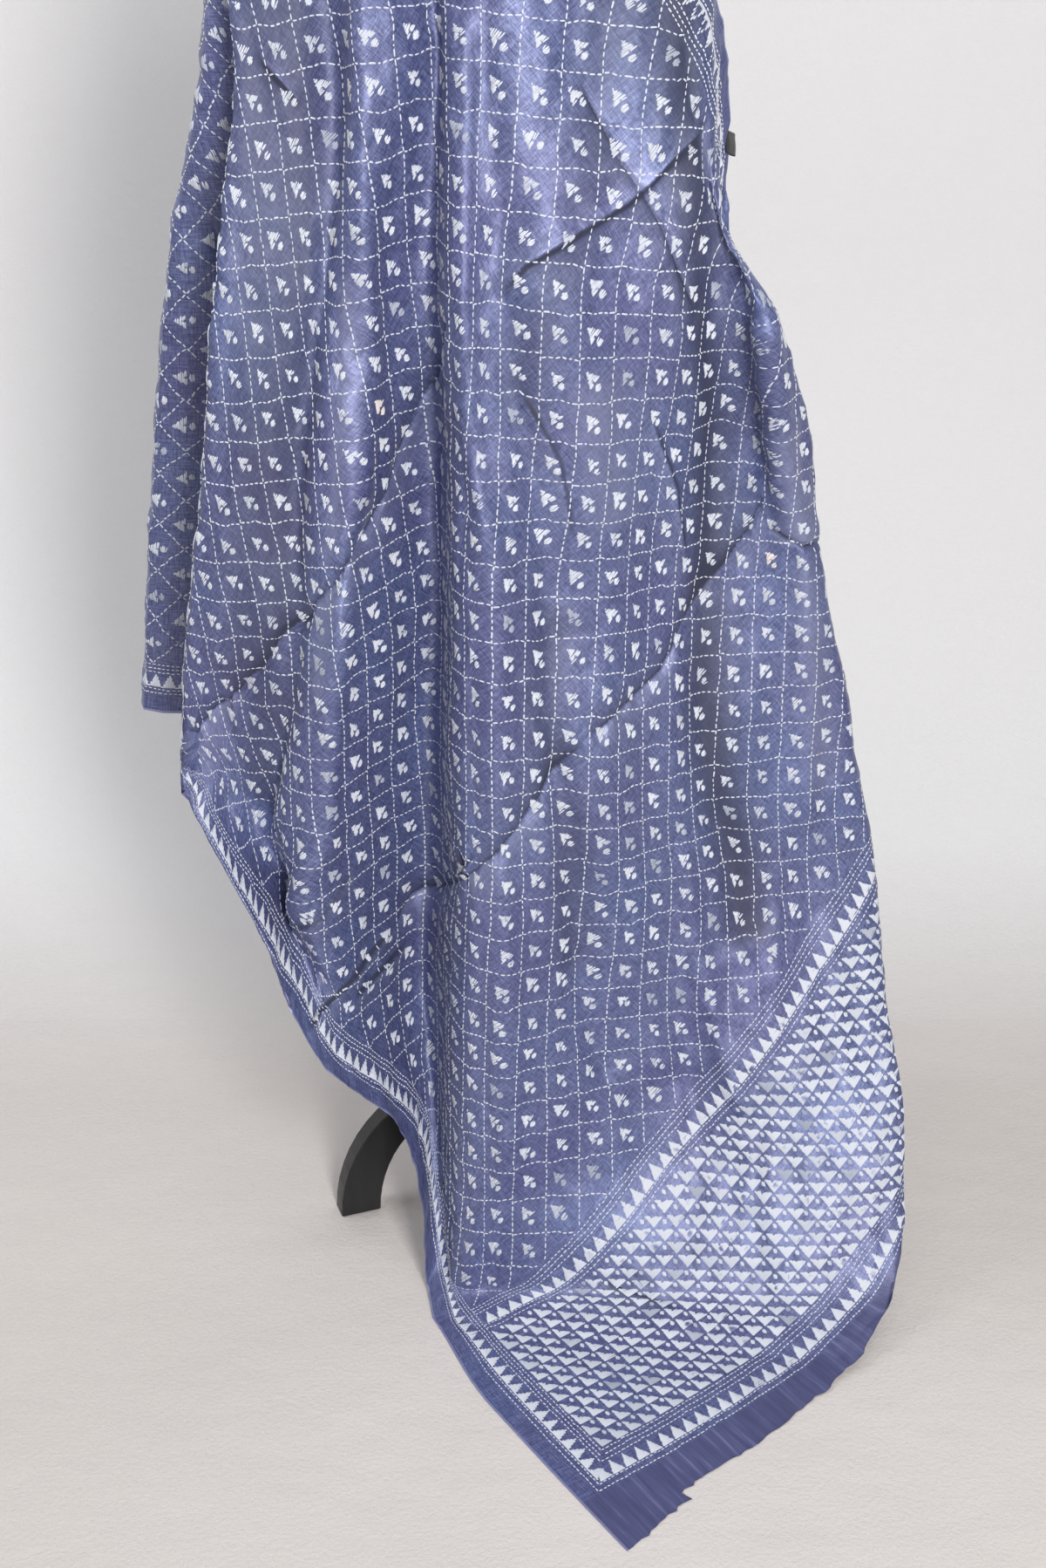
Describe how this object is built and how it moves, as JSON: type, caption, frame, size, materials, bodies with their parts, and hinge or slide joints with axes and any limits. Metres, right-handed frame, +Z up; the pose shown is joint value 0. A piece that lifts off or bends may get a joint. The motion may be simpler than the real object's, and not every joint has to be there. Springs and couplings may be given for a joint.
{
  "type": "kantha dupatta on a dress stand",
  "caption": "Long embroidered silk shawl hung corner down over a plain black wooden dress stand, its low corner spread on the floor.",
  "frame": {"origin": "middle of the footprint, on the floor", "axes": "+Z up, the front with the low corner faces -Y, +X to the right seen from the front"},
  "size_m": [0.7002, 0.7184, 1.4008],
  "materials": {
    "silk": "soft sheen, off-white running stitch",
    "label_weave": "matt woven, left bare",
    "black_wood": "satin black"
  },
  "bodies": {
    "root": {"cloth": "silk", "label": "label_weave", "leg_1": "black_wood", "leg_2": "black_wood", "leg_3": "black_wood", "hub": "black_wood", "pole": "black_wood", "shoulder_cap": "black_wood"}
  },
  "joints": []
}
